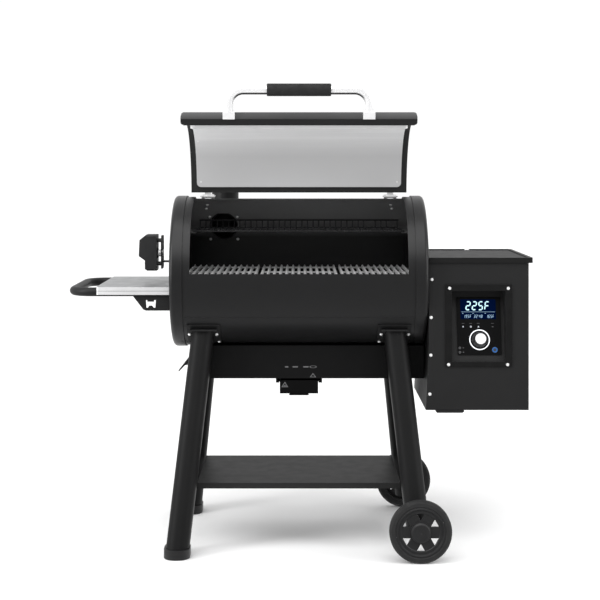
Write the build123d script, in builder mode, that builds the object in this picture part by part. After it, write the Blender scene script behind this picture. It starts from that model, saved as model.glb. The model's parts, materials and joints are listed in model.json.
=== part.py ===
from build123d import *

import math
import os

# A free-standing pellet smoker grill, in millimetres. The barrel lies along X, -Y is
# the front, +Z is up and the origin is on the floor under the middle of the barrel.
# The lid is modelled open, as it stands when the grill is loaded.

# ---- driving dimensions ----
SHEET = 2.0
GAP = 0.3

AXIS_Z = 825.0            # height of the barrel's axis
SHELL_R = 232.0
SHELL_HALF = 358.0
OPEN_HALF = 327.0         # half length of the cooking opening
OPEN_REAR = 76.0          # opening's edges, degrees from +Y towards +Z
OPEN_FRONT = 178.3
CAP_R = 235.5
CAP_START = 350.0
CAP_END = 389.0
CAP_ROUND = 13.0

LID_OPEN = 70.0           # degrees between the closed lid and the modelled pose
HINGE_Y, HINGE_Z = 76.0, 1057.0
HINGE_X = 292.0
HINGE_HALF = 20.0
LID_R = 238.5
LID_HALF = 344.0
LID_REAR, LID_FRONT = 74.8, 177.5
LINER_R = 223.0
LINER_HALF = 325.0
HANDLE_HALF = 208.3
HANDLE_OUT = 344.5        # handle tube's axis, measured from the barrel's axis
HANDLE_UP = 18.0
TUBE_R = 14.0
GRIP_R = 18.75

GRATE_TOP = 829.0
GRATE_PITCH = 19.0
RACK_Z = 953.0
RACK_PITCH = 18.4
PORT_X, PORT_Z, PORT_R = -247.0, 956.0, 46.5
PIPE_Y, PIPE_R, PIPE_TOP = 275.0, 44.5, 1190.0

HOUSING_LEFT, HOUSING_RIGHT = -334.0, 384.0
HOUSING_HALF_Y = 96.0
HOUSING_LOW, HOUSING_TOP = 500.0, 601.0
POT_R = 56.0
AUGER_Z = 560.0
AUGER_TUBE_R = 29.0
AUGER_SHAFT_R = 7.0
FAN_Y, FAN_Z = 64.0, 550.0

LEG_TOP = (292.0, 131.0, 651.0)
LEG_FOOT = (361.0, 265.0, 0.0)
LEG_X, LEG_Y, LEG_WALL = 68.0, 84.0, 2.0
SADDLE_R = 236.5
AXLE_X, AXLE_Z, AXLE_R = 353.5, 91.0, 6.0
WHEEL_IN = 312.0           # distance from the middle to a wheel's inner side

SHELF_TOP = 789.0
SHELF_LEFT, SHELF_RIGHT = -612.0, -391.0
SHELF_FRONT, SHELF_BACK = -190.0, 208.0
RAIL_R = 13.5
RAIL_LEFT = -702.0

HOPPER_LEFT, HOPPER_FOOT_LEFT, HOPPER_RIGHT = 390.5, 381.0, 690.0
HOPPER_FRONT, HOPPER_BACK = -200.0, 217.0
HOPPER_LOW, HOPPER_TOP = 421.0, 863.0
HOPPER_LID_RIGHT = 702.0
DUCT_X, DUCT_HALF = 455.0, 30.0
LID_PIN_Y, LID_PIN_Z = 229.0, 869.0

PANEL = (544.5, -171.0, 670.0)   # middle of the control glass
PANEL_TILT = 13.8                # degrees that the glass leans back
GLASS_WIDE, GLASS_HIGH = 133.0, 175.0
BEZEL_X, BEZEL_Z = (440.0, 640.0), (551.0, 798.0)
RECESS_X, RECESS_Z = (459.0, 620.0), (566.0, 779.0)
KEYS = (-48.3, -25.0, -2.0)
KEY_V = -2.0
KNOB_V = -41.8
POWER_U, POWER_V = 45.3, -72.0

SPIT_Z = 880.0

os.makedirs("parts", exist_ok=True)


# ---- shared geometry ----
def polar(radius, degrees):
    """A point at an angle from the plane's x direction."""
    return (radius * math.cos(math.radians(degrees)), radius * math.sin(math.radians(degrees)))


def ring_sector(outer, inner, start, end):
    """Draw a curved sheet's section about the plane's origin, between two angles."""
    middle = (start + end) / 2
    sides = [
        Edge.make_three_point_arc(polar(outer, start), polar(outer, middle), polar(outer, end)),
        Edge.make_line(polar(outer, end), polar(inner, end)),
        Edge.make_three_point_arc(polar(inner, end), polar(inner, middle), polar(inner, start)),
        Edge.make_line(polar(inner, start), polar(outer, start)),
    ]
    make_face(sides)


def wedge(radius, start, end):
    """Draw a fan from the plane's origin, for cutting a curved sheet."""
    step = (end - start) / 4
    rim = [polar(radius, start + step * i) for i in range(5)]
    Polygon((0, 0), *rim, align=None)


def block(x, y, z, mode=Mode.ADD):
    """Add a box given by its low and high limits along each axis."""
    middle = ((x[0] + x[1]) / 2, (y[0] + y[1]) / 2, (z[0] + z[1]) / 2)
    with Locations(middle):
        Box(x[1] - x[0], y[1] - y[0], z[1] - z[0], mode=mode)


def rod_x(radius, x, y, z, mode=Mode.ADD):
    """Add a cylinder along X from x[0] to x[1]."""
    with Locations(((x[0] + x[1]) / 2, y, z)):
        Cylinder(radius, x[1] - x[0], rotation=(0, 90, 0), mode=mode)


def rod_y(radius, y, x, z, mode=Mode.ADD):
    """Add a cylinder along Y from y[0] to y[1]."""
    with Locations((x, (y[0] + y[1]) / 2, z)):
        Cylinder(radius, y[1] - y[0], rotation=(90, 0, 0), mode=mode)


def rod_z(radius, z, x, y, mode=Mode.ADD):
    """Add a cylinder along Z from z[0] to z[1]."""
    with Locations((x, y, (z[0] + z[1]) / 2)):
        Cylinder(radius, z[1] - z[0], mode=mode)


def save(builder, label):
    """Name a finished piece and write it."""
    builder.part.label = label
    export_step(builder.part, f"parts/{label}.step")


BARREL = Plane(origin=(0, 0, AXIS_Z), x_dir=(0, 1, 0), z_dir=(1, 0, 0))

turn = math.radians(LID_OPEN)
swing_y = -HINGE_Y
swing_z = AXIS_Z - HINGE_Z
LID_Y = HINGE_Y + swing_y * math.cos(turn) + swing_z * math.sin(turn)
LID_Z = HINGE_Z - swing_y * math.sin(turn) + swing_z * math.cos(turn)
# In this plane the lid is drawn as it lies when closed, about the barrel's axis.
LID = Plane((0, LID_Y, LID_Z), x_dir=(0, math.cos(turn), -math.sin(turn)), z_dir=(1, 0, 0))
PIN_R = math.hypot(HINGE_Y, HINGE_Z - AXIS_Z)
PIN_ANGLE = math.degrees(math.atan2(HINGE_Z - AXIS_Z, HINGE_Y))


# ---- barrel ----
with BuildPart() as barrel_shell:
    with BuildSketch(BARREL.offset(-SHELL_HALF)):
        Circle(SHELL_R)
        Circle(SHELL_R - SHEET, mode=Mode.SUBTRACT)
    extrude(amount=2 * SHELL_HALF)
    for end_x in (-SHELL_HALF, SHELL_HALF - SHEET):
        with BuildSketch(BARREL.offset(end_x)):
            Circle(SHELL_R - SHEET / 2)
        extrude(amount=SHEET)
    with BuildSketch(BARREL.offset(-OPEN_HALF)):
        wedge(2 * SHELL_R, OPEN_REAR, OPEN_FRONT)
    extrude(amount=2 * OPEN_HALF, mode=Mode.SUBTRACT)
    # ledges for the grates and the drip tray
    for side in (-1, 1):
        block((-345, 345), sorted((side * 196, side * 230.5)), (GRATE_TOP - 15, GRATE_TOP - 12))
        block((-345, 345), sorted((side * 172, side * 196)), (696, 699))
        # rack supports on the end walls
        block(sorted((side * 318, side * 356.5)), (-92, 150), (RACK_Z - 6, RACK_Z - 3))
    rod_y(PORT_R, (150, 260), PORT_X, PORT_Z, mode=Mode.SUBTRACT)
    rod_z(POT_R + GAP, (580, 620), 0, 0, mode=Mode.SUBTRACT)
    rod_z(16, (580, 620), -290, 0, mode=Mode.SUBTRACT)
save(barrel_shell, "barrel_shell")

bend_x, bend_r = CAP_END - CAP_ROUND, CAP_R - CAP_ROUND
diagonal = math.sqrt(0.5)
with BuildPart() as end_caps:
    with BuildSketch(Plane.XZ):
        with BuildLine():
            Polyline((CAP_START, CAP_R - SHEET), (CAP_START, CAP_R), (bend_x, CAP_R))
            outer_bend = (bend_x + CAP_ROUND * diagonal, bend_r + CAP_ROUND * diagonal)
            ThreePointArc((bend_x, CAP_R), outer_bend, (CAP_END, bend_r))
            # the flat face is pressed in a little inside its rim
            Polyline((CAP_END, bend_r), (CAP_END, 186), (CAP_END - SHEET, 180), (CAP_END - SHEET, 0),
                     (CAP_END - 2 * SHEET, 0), (CAP_END - 2 * SHEET, 181), (CAP_END - SHEET, 187),
                     (CAP_END - SHEET, bend_r))
            inner_round = CAP_ROUND - SHEET
            inner_bend = (bend_x + inner_round * diagonal, bend_r + inner_round * diagonal)
            ThreePointArc((CAP_END - SHEET, bend_r), inner_bend, (bend_x, CAP_R - SHEET))
            Line((bend_x, CAP_R - SHEET), (CAP_START, CAP_R - SHEET))
        make_face()
    revolve(axis=Axis.X)
    mirror(about=Plane.YZ)
end_caps.part.position = (0, 0, AXIS_Z)
save(end_caps, "end_caps")

# ---- inside the barrel ----
with BuildPart() as cooking_grates:
    for first, last in ((-18, -7), (-6, 6), (7, 18)):
        for bar in range(first, last + 1):
            bar_x = GRATE_PITCH * bar
            block((bar_x - 4.8, bar_x + 4.8), (-201, 201), (GRATE_TOP - 12, GRATE_TOP))
        for rib_y in (-201, -6, 189):
            block((GRATE_PITCH * first, GRATE_PITCH * last), (rib_y, rib_y + 12),
                  (GRATE_TOP - 12, GRATE_TOP - 7))
save(cooking_grates, "cooking_grates")

with BuildPart() as warming_rack:
    rack_xs = [RACK_PITCH * (i - 17.5) for i in range(36)]
    for wire_x in rack_xs:
        rod_y(1.8, (-100, 158), wire_x, RACK_Z)
        rod_z(1.8, (RACK_Z, RACK_Z + 24), wire_x, 158)
        with Locations((wire_x, 158, RACK_Z)):
            Sphere(1.8)
    for wire_y, wire_z in ((-100, RACK_Z), (30, RACK_Z - 0.2), (158, RACK_Z + 24)):
        rod_x(2.6, (-325, 325), wire_y, wire_z)
    rod_x(2.2, (-325, 325), 158, RACK_Z)
save(warming_rack, "warming_rack")

with BuildPart() as drip_tray:
    block((-320, 320), (-188, 188), (699, 713))
    block((-318, 318), (-186, 186), (701, 715), mode=Mode.SUBTRACT)
    rod_z(12, (690, 703), -290, 0, mode=Mode.SUBTRACT)
save(drip_tray, "drip_tray")

with BuildPart() as heat_baffle:
    with BuildSketch(BARREL.offset(-130)):
        with Locations((0, -208)):
            Rectangle(220, 110)
        with Locations((0, -210)):
            Rectangle(216, 110, mode=Mode.SUBTRACT)
        with Locations((0, 0)):
            Circle(SHELL_R - SHEET - GAP, mode=Mode.INTERSECT)
    extrude(amount=260)
    for slot_x in (-95, 95):
        block((slot_x - 20, slot_x + 20), (-120, 120), (570, 640), mode=Mode.SUBTRACT)
save(heat_baffle, "heat_baffle")

with BuildPart() as fire_pot:
    rod_z(POT_R, (HOUSING_LOW + SHEET, 648), 0, 0)
    rod_z(POT_R - 3, (HOUSING_LOW, 650), 0, 0, mode=Mode.SUBTRACT)
    rod_z(POT_R - 2, (522, 525), 0, 0)
    rod_x(AUGER_TUBE_R + GAP, (30, 70), 0, AUGER_Z, mode=Mode.SUBTRACT)
    rod_x(5.3, (-70, -30), 0, 545, mode=Mode.SUBTRACT)
    for hole_z in (600, 620):
        for hole in range(12):
            with Locations(Rotation(0, 0, 30 * hole) * Pos(POT_R - 1.5, 0, hole_z)):
                Cylinder(3, 10, rotation=(0, 90, 0), mode=Mode.SUBTRACT)
    with PolarLocations(34, 8):
        Cylinder(4, 1100, mode=Mode.SUBTRACT)
save(fire_pot, "fire_pot")

with BuildPart() as igniter_rod:
    rod_x(5, (-130, -36), 0, 545)
    rod_x(9, (-150, -130), 0, 545)
save(igniter_rod, "igniter_rod")

# ---- housing under the barrel ----
with BuildPart() as lower_housing:
    block((HOUSING_LEFT, HOUSING_RIGHT), (-HOUSING_HALF_Y, HOUSING_HALF_Y), (HOUSING_LOW, HOUSING_TOP))
    block((HOUSING_LEFT + SHEET, HOUSING_RIGHT - SHEET),
          (-HOUSING_HALF_Y + SHEET, HOUSING_HALF_Y - SHEET),
          (HOUSING_LOW + SHEET, HOUSING_TOP - SHEET), mode=Mode.SUBTRACT)
    rod_x(SHELL_R + GAP, (-400, 400), 0, AXIS_Z, mode=Mode.SUBTRACT)
    rod_x(CAP_R + GAP, (CAP_START - GAP, 400), 0, AXIS_Z, mode=Mode.SUBTRACT)
    rod_x(AUGER_TUBE_R + GAP, (370, 400), 0, AUGER_Z, mode=Mode.SUBTRACT)
    rod_x(26, (370, 400), FAN_Y, FAN_Z, mode=Mode.SUBTRACT)
    block((-340, -330), (-43, 43), (505, 556), mode=Mode.SUBTRACT)
    rod_z(50, (490, 510), 0, 0, mode=Mode.SUBTRACT)
    rod_z(POT_R + GAP, (590, 610), 0, 0, mode=Mode.SUBTRACT)
    # rails that carry the ash cup
    for side in (-1, 1):
        block(sorted((side * 68, side * 71)), (-HOUSING_HALF_Y, 60), (489, HOUSING_LOW))
        block(sorted((side * 61, side * 71)), (-HOUSING_HALF_Y, 60), (487, 490))
        # bearers for the grease drawer
        block((HOUSING_LEFT + 1, -200), sorted((side * 30, side * 42)), (501, 505))
save(lower_housing, "lower_housing")

with BuildPart() as ash_cup:
    block((-59, 59), (-99, 58), (454, 494))
    block((-57, 57), (-97, 56), (456, 500), mode=Mode.SUBTRACT)
    for side in (-1, 1):
        block(sorted((side * 57, side * 67.5)), (-95, 58), (490.3, 492.3))
    with BuildSketch(Plane.YZ.offset(-30)):
        Polygon((-99, 456), (-99, 454), (-108, 450), (-109, 452), align=None)
    extrude(amount=60)
save(ash_cup, "ash_cup")

with BuildPart() as grease_drawer:
    block((-336, -210), (-40, 40), (505.3, 545))
    block((-333.5, -212), (-38, 38), (507.3, 550), mode=Mode.SUBTRACT)
    block((-337, -334.5), (-48, 48), (502, 560))
    with BuildSketch(Plane.XZ.offset(-26)):
        Polygon((-336, 557), (-343, 557), (-378, 512), (-376, 510), (-342, 554), (-336, 554), align=None)
    extrude(amount=52)
    # the pull's two cheeks
    for cheek_y in (-24, 26):
        with BuildSketch(Plane.XZ.offset(-cheek_y)):
            Polygon((-336, 557), (-343, 557), (-378, 512), (-376, 510), (-357, 530), (-336, 534), align=None)
        extrude(amount=2)
save(grease_drawer, "grease_drawer")

# ---- pellet feed ----
with BuildPart() as auger_tube:
    rod_x(AUGER_TUBE_R, (40, DUCT_X - DUCT_HALF - SHEET), 0, AUGER_Z)
    rod_x(AUGER_TUBE_R - SHEET, (30, 440), 0, AUGER_Z, mode=Mode.SUBTRACT)
    rod_z(POT_R + GAP, (500, 620), 0, 0, mode=Mode.SUBTRACT)
save(auger_tube, "auger_tube")

with BuildPart() as auger_screw:
    rod_x(AUGER_SHAFT_R, (60, 504), 0, AUGER_Z)
    for flight in range(26):
        with Locations(Location((70 + 16 * flight, 0, AUGER_Z), (0, 90, 0)) * Rotation(12, 0, 0)):
            Cylinder(24.5, 2.4)
save(auger_screw, "auger_screw")

with BuildPart() as auger_motor:
    block((488, 548), (-38, 38), (522, 598))
    fillet(edges().filter_by(Axis.X), 6)
    rod_x(30, (548, 600), 0, AUGER_Z)
    rod_x(AUGER_SHAFT_R + 0.06, (480, 506), 0, AUGER_Z, mode=Mode.SUBTRACT)
save(auger_motor, "auger_motor")

with BuildPart() as fan_housing:
    block((393.5, 425), (FAN_Y - 30, FAN_Y + 30), (FAN_Z - 30, FAN_Z + 30))
    fillet(edges().filter_by(Axis.X), 5)
    rod_x(27, (390, 420), FAN_Y, FAN_Z, mode=Mode.SUBTRACT)
    rod_x(22, (418, 430), FAN_Y, FAN_Z, mode=Mode.SUBTRACT)
    block((421, 424), (FAN_Y - 24, FAN_Y + 24), (FAN_Z - 3, FAN_Z + 3))
    rod_x(10, (420.5, 425), FAN_Y, FAN_Z)
    rod_x(3.05, (410, 424), FAN_Y, FAN_Z, mode=Mode.SUBTRACT)
save(fan_housing, "fan_housing")

with BuildPart() as fan_impeller:
    rod_x(10, (398, 417), FAN_Y, FAN_Z)
    rod_x(3, (417, 423.5), FAN_Y, FAN_Z)
    for blade in range(7):
        hub = Location((407.5, FAN_Y, FAN_Z), (360 / 7 * blade, 0, 0))
        with Locations(hub * Pos(0, 0, 16.5) * Rotation(0, 0, 35)):
            Box(14, 2, 16)
save(fan_impeller, "fan_impeller")

# ---- exhaust ----
with BuildPart() as chimney_pipe:
    rod_y(PIPE_R, (150, PIPE_Y), PORT_X, PORT_Z)
    rod_z(PIPE_R, (PORT_Z, PIPE_TOP), PORT_X, PIPE_Y)
    with Locations((PORT_X, PIPE_Y, PORT_Z)):
        Sphere(PIPE_R)
    with BuildSketch(BARREL.offset(PORT_X - 60)):
        ring_sector(SHELL_R + 4, SHELL_R + 1, 20, 49)
    extrude(amount=120)
    rod_x(SHELL_R + GAP, (-400, 0), 0, AXIS_Z, mode=Mode.SUBTRACT)
    rod_y(PIPE_R - SHEET, (150, PIPE_Y), PORT_X, PORT_Z, mode=Mode.SUBTRACT)
    rod_z(PIPE_R - SHEET, (PORT_Z, PIPE_TOP + 1), PORT_X, PIPE_Y, mode=Mode.SUBTRACT)
    with Locations((PORT_X, PIPE_Y, PORT_Z)):
        Sphere(PIPE_R - SHEET, mode=Mode.SUBTRACT)
save(chimney_pipe, "chimney_pipe")

with BuildPart() as chimney_cap:
    with BuildSketch(Plane.XZ):
        with BuildLine():
            Polyline((0, 1221), (28, 1219), (55.5, 1208), (55.5, 1200), (53.5, 1200), (53.5, 1206.5),
                     (27, 1217), (0, 1219), close=True)
        make_face()
    revolve(axis=Axis.Z)
    rod_z(4, (1196, 1220), 0, 0)
    block((-50, 50), (-6, 6), (PIPE_TOP + GAP, PIPE_TOP + 3))
    rod_z(4, (PIPE_TOP, 1200), 0, 0)
    for side in (-1, 1):
        block(sorted((side * 47, side * 50)), (-6, 6), (PIPE_TOP - 14, PIPE_TOP + 3))
chimney_cap.part.position = (PORT_X, PIPE_Y, 0)
save(chimney_cap, "chimney_cap")

# ---- lid ----
with BuildPart() as lid_shell:
    with BuildSketch(LID.offset(-LID_HALF)):
        ring_sector(LID_R, LID_R - SHEET, LID_REAR, LID_FRONT)
    extrude(amount=2 * LID_HALF)
save(lid_shell, "lid_shell")

with BuildPart() as liner_cavity:
    with BuildSketch(LID.offset(-LINER_HALF + 1.5)):
        ring_sector(LID_R + 10, LINER_R + 1.5, 80.1, 174.6)
    extrude(amount=2 * LINER_HALF - 3)
    rear_corners = edges().filter_by(lambda e: abs(e.length - (LID_R + 8.5 - LINER_R)) < 0.1)
    fillet(rear_corners, 12)

with BuildPart() as lid_liner:
    with BuildSketch(LID.offset(-LINER_HALF)):
        ring_sector(LID_R - SHEET - 0.2, LINER_R, 79.7, 175)
    extrude(amount=2 * LINER_HALF)
    corners = edges().filter_by(lambda e: abs(e.length - (LID_R - SHEET - 0.2 - LINER_R)) < 0.1)
    fillet(corners, 13.5)
    add(liner_cavity.part, mode=Mode.SUBTRACT)
save(lid_liner, "lid_liner")

trim_outline = [(-226, 8), (-257, 8), (-271.5, 22.5), (-271.5, 30), (-236, 45), (-226, 20)]
trim_inside = [(-220, 10.5), (-256, 10.5), (-269, 23.5), (-269, 28.3), (-237.5, 41.5), (-220, 41.5)]
with BuildPart() as lid_front_trim:
    with BuildSketch(LID.offset(-352)):
        Polygon(*trim_outline, align=None)
        Polygon(*trim_inside, align=None, mode=Mode.SUBTRACT)
        Circle(LID_R + GAP, mode=Mode.SUBTRACT)
    extrude(amount=704)
    for end_x in (-352, 349.5):
        with BuildSketch(LID.offset(end_x)):
            Polygon(*trim_outline, align=None)
            Circle(LID_R + GAP, mode=Mode.SUBTRACT)
        extrude(amount=2.5)
    # rounded corners at both ends
    trim_face = Plane(LID.origin, x_dir=(1, 0, 0), z_dir=-LID.y_dir)
    for side in (-1, 1):
        with BuildSketch(trim_face.offset(-60)):
            with Locations((side * 352, 238.7)):
                Rectangle(16, 16)
            with Locations((side * 352, 271.5)):
                Rectangle(20, 20)
            with Locations((side * 344, 246.7)):
                Circle(8, mode=Mode.SUBTRACT)
            with Locations((side * 342, 261.5)):
                Circle(10, mode=Mode.SUBTRACT)
        extrude(amount=60, mode=Mode.SUBTRACT)
save(lid_front_trim, "lid_front_trim")

foot_outline = [(-257.5, 7.8), (-257.5, 3.8), (-279, 3.8), (-279, 32.2), (-271.8, 32.2), (-271.8, 22.1)]
with BuildPart() as lid_handle:
    for side in (-1, 1):
        with BuildSketch(LID.offset(side * HANDLE_HALF - 18)):
            Polygon(*foot_outline, align=None)
        extrude(amount=36)
    handle_plane = Plane(LID.from_local_coords((0, HANDLE_UP, 0)), x_dir=(1, 0, 0), z_dir=-LID.y_dir)
    with BuildLine(handle_plane) as handle_path:
        FilletPolyline((-HANDLE_HALF, 279), (-HANDLE_HALF, HANDLE_OUT), (HANDLE_HALF, HANDLE_OUT),
                       (HANDLE_HALF, 279), radius=44)
    foot_plane = Plane(LID.from_local_coords((-279, HANDLE_UP, -HANDLE_HALF)), z_dir=-LID.x_dir)
    with BuildSketch(foot_plane):
        Circle(TUBE_R)
    sweep(path=handle_path.line)
    with BuildSketch(foot_plane):
        Circle(TUBE_R - 1.6)
    sweep(path=handle_path.line, mode=Mode.SUBTRACT)
save(lid_handle, "lid_handle")

with BuildPart() as lid_handle_grip:
    with BuildSketch(Plane(LID.from_local_coords((-HANDLE_OUT, HANDLE_UP, -95)), z_dir=(1, 0, 0))):
        Circle(GRIP_R)
    extrude(amount=190)
    fillet(edges(), 3)
    with BuildSketch(Plane(LID.from_local_coords((-HANDLE_OUT, HANDLE_UP, -95)), z_dir=(1, 0, 0))):
        Circle(TUBE_R + 0.2)
    extrude(amount=190, mode=Mode.SUBTRACT)
save(lid_handle_grip, "lid_handle_grip")

# ---- lid hinges ----
with BuildPart() as lid_hinge_leaves:
    for middle in (-HINGE_X, HINGE_X):
        with BuildSketch(LID.offset(middle - HINGE_HALF)):
            ring_sector(LID_R + 2.8, LID_R + GAP, 77, 87)
        extrude(amount=2 * HINGE_HALF)
        with BuildSketch(LID.offset(middle - HINGE_HALF / 2 + GAP)):
            Polygon(polar(LID_R + GAP, 78), polar(LID_R + 2.8, 78), polar(PIN_R + 5, PIN_ANGLE + 1),
                    polar(PIN_R - 3, PIN_ANGLE + 1), align=None)
            with Locations(polar(PIN_R, PIN_ANGLE)):
                Circle(6)
                Circle(3.05, mode=Mode.SUBTRACT)
        extrude(amount=HINGE_HALF - 2 * GAP)
save(lid_hinge_leaves, "lid_hinge_leaves")

with BuildPart() as barrel_hinges:
    for middle in (-HINGE_X, HINGE_X):
        with BuildSketch(BARREL.offset(middle - HINGE_HALF)):
            ring_sector(SHELL_R + 2.8, SHELL_R + GAP, 52, 69)
        extrude(amount=2 * HINGE_HALF)
        for start in (middle - HINGE_HALF, middle + HINGE_HALF / 2):
            with BuildSketch(BARREL.offset(start)):
                Polygon(polar(SHELL_R + GAP, 67), polar(PIN_R + 3, PIN_ANGLE - 0.9),
                        polar(PIN_R - 4.5, PIN_ANGLE + 0.6), polar(SHELL_R + GAP, 69), align=None)
                with Locations(polar(PIN_R, PIN_ANGLE)):
                    Circle(6)
            extrude(amount=HINGE_HALF / 2)
        rod_x(3, (middle - HINGE_HALF - 4, middle + HINGE_HALF + 4), HINGE_Y, HINGE_Z)
save(barrel_hinges, "barrel_hinges")


# ---- legs and wheels ----
def leg_frame(side_x, side_y):
    """The plane across one leg's bottom end, with z along the leg."""
    foot = Vector(side_x * LEG_FOOT[0], side_y * LEG_FOOT[1], LEG_FOOT[2])
    top = Vector(side_x * LEG_TOP[0], side_y * LEG_TOP[1], LEG_TOP[2])
    along = (top - foot).normalized()
    across = (Vector(1, 0, 0) - along * along.X).normalized()
    return Plane(foot, x_dir=across, z_dir=along)


def leg_section(grow=0.0, mode=Mode.ADD):
    """Draw a leg's flattened oval section, grown on all sides."""
    RectangleRounded(LEG_X + 2 * grow, LEG_Y + 2 * grow, 30 + grow, mode=mode)


# plates that close the right legs' lower ends
with BuildPart() as leg_ends:
    for side_y in (-1, 1):
        with BuildSketch(leg_frame(1, side_y).offset(40)):
            leg_section(-LEG_WALL / 2)
        extrude(amount=60)
    block((-500, 500), (-500, 500), (62, 64.5), mode=Mode.INTERSECT)

for side_x, low, label in ((-1, 8, "left_legs"), (1, 62, "right_legs")):
    with BuildPart() as legs:
        for side_y in (-1, 1):
            with BuildSketch(leg_frame(side_x, side_y).offset(-40)):
                leg_section()
                leg_section(-LEG_WALL, mode=Mode.SUBTRACT)
            extrude(amount=780)
        rod_x(SADDLE_R + GAP, (-500, 500), 0, AXIS_Z, mode=Mode.SUBTRACT)
        block((-500, 500), (-500, 500), (-200, low), mode=Mode.SUBTRACT)
        block((-500, 500), (-500, 500), (655, 1200), mode=Mode.SUBTRACT)
        if side_x > 0:
            add(leg_ends.part)
            rod_y(AXLE_R + 0.1, (-340, 340), AXLE_X, AXLE_Z, mode=Mode.SUBTRACT)
    save(legs, label)

with BuildPart() as foot_pockets:
    for side_y in (-1, 1):
        with BuildSketch(leg_frame(-1, side_y).offset(-40)):
            leg_section(0.2)
        extrude(amount=200)
    block((-500, 500), (-500, 500), (-200, 7.8), mode=Mode.SUBTRACT)

with BuildPart() as left_feet:
    for side_y in (-1, 1):
        with BuildSketch(Plane.XY):
            with Locations((-LEG_FOOT[0] + 1.5, side_y * (LEG_FOOT[1] - 3))):
                RectangleRounded(77, 98, 34)
        extrude(amount=28)
    bottom_rims = edges().filter_by(lambda e: abs(e.center().Z) < 0.1)
    chamfer(bottom_rims, 2)
    add(foot_pockets.part, mode=Mode.SUBTRACT)
save(left_feet, "left_feet")

with BuildPart() as leg_brackets:
    for side_y, start in ((-1, 220), (1, 295)):
        for side_x in (-1, 1):
            with BuildSketch(BARREL.offset(side_x * 289 - 50.5)):
                ring_sector(SADDLE_R, SHELL_R + GAP, start, start + 25)
            extrude(amount=101)
            # hood over the leg's cut top
            hood = sorted((side_y * 150, side_y * 186))
            block((side_x * 289 - 40, side_x * 289 + 40), hood, (656, 660))
    rod_x(SHELL_R + GAP, (-500, 500), 0, AXIS_Z, mode=Mode.SUBTRACT)
save(leg_brackets, "leg_brackets")

with BuildPart() as wheel_axle:
    rod_y(AXLE_R, (-344, 344), AXLE_X, AXLE_Z)
    # collars that keep the wheels off the legs
    for side in (-1, 1):
        rod_y(10, sorted((side * 299, side * 311.7)), AXLE_X, AXLE_Z)
save(wheel_axle, "wheel_axle")

# a wheel's section: radius along x, distance outwards from the wheel's inner side along y
rim_outline = [(6.05, 0), (16, 0), (16, 20), (66, 24), (66, 4), (71.7, 4), (71.7, 33), (69, 34),
               (66, 33), (64, 30), (56, 30.5), (54, 29), (31, 29), (29, 36), (24, 38.5), (0, 39),
               (0, 34), (6.05, 34)]
tyre_outline = [(72, 3), (84, 3), (91, 9), (91, 17), (89.5, 18), (91, 19), (91, 28), (85, 35),
                (76, 35.5), (74, 33.5), (72, 33.5)]
WHEEL = Plane(origin=(AXLE_X, -WHEEL_IN, AXLE_Z), x_dir=(1, 0, 0), z_dir=(0, 0, -1))
WHEEL_AXIS = Axis((AXLE_X, 0, AXLE_Z), (0, 1, 0))

with BuildPart() as front_wheel_rim:
    with BuildSketch(WHEEL):
        Polygon(*rim_outline, align=None)
    revolve(axis=WHEEL_AXIS)
    for spoke in range(6):
        angle = 30 + 60 * spoke
        out_x, out_z = polar(47, angle)
        with BuildSketch(Plane((AXLE_X + out_x, 0, AXLE_Z + out_z), x_dir=(1, 0, 0), z_dir=(0, -1, 0))):
            corners = [polar(14, angle + turn_by) for turn_by in (180, 300, 60)]
            Polygon(*corners, align=None)
        extrude(amount=360, mode=Mode.SUBTRACT)
save(front_wheel_rim, "front_wheel_rim")

with BuildPart() as front_wheel_tyre:
    with BuildSketch(WHEEL):
        Polygon(*tyre_outline, align=None)
    revolve(axis=WHEEL_AXIS)
save(front_wheel_tyre, "front_wheel_tyre")

with BuildPart() as rear_wheel_rim:
    add(mirror(front_wheel_rim.part, about=Plane.XZ, mode=Mode.PRIVATE))
save(rear_wheel_rim, "rear_wheel_rim")

with BuildPart() as rear_wheel_tyre:
    add(mirror(front_wheel_tyre.part, about=Plane.XZ, mode=Mode.PRIVATE))
save(rear_wheel_tyre, "rear_wheel_tyre")

with BuildPart() as lower_shelf:
    block((-305, 305), (-194, 194), (184, 201))
    block((-303, 303), (-192, 192), (180, 199), mode=Mode.SUBTRACT)
save(lower_shelf, "lower_shelf")

# ---- side shelf ----
with BuildPart() as side_shelf_top:
    for inset, radius, depth in ((0, 8, 23), (1.5, 6.5, 21.5)):
        with BuildSketch(Plane.XY.offset(SHELF_TOP - 23)):
            with Locations(((SHELF_LEFT + SHELF_RIGHT) / 2 + inset, (SHELF_FRONT + SHELF_BACK) / 2)):
                Rectangle(SHELF_RIGHT - SHELF_LEFT, SHELF_BACK - SHELF_FRONT - 2 * inset)
            fillet(vertices().group_by(Axis.X)[0], radius)
        extrude(amount=depth, mode=Mode.SUBTRACT if inset else Mode.ADD)
    for rail_y in (-174, 192):
        rod_x(RAIL_R + GAP, (SHELF_LEFT - 5, SHELF_LEFT + 5), rail_y, 773.7, mode=Mode.SUBTRACT)
save(side_shelf_top, "side_shelf_top")

with BuildPart() as side_shelf_frame:
    with BuildLine(Plane.XY.offset(773.7)) as rail_path:
        FilletPolyline((SHELF_RIGHT + 1, -174), (RAIL_LEFT + RAIL_R, -174), (RAIL_LEFT + RAIL_R, 192),
                       (SHELF_RIGHT + 1, 192), radius=62)
    rail_end = Plane((SHELF_RIGHT + 1, -174, 773.7), z_dir=(-1, 0, 0))
    with BuildSketch(rail_end):
        Circle(RAIL_R)
    sweep(path=rail_path.line)
    with BuildSketch(rail_end):
        Circle(RAIL_R - SHEET)
    sweep(path=rail_path.line, mode=Mode.SUBTRACT)
save(side_shelf_frame, "side_shelf_frame")

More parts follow.
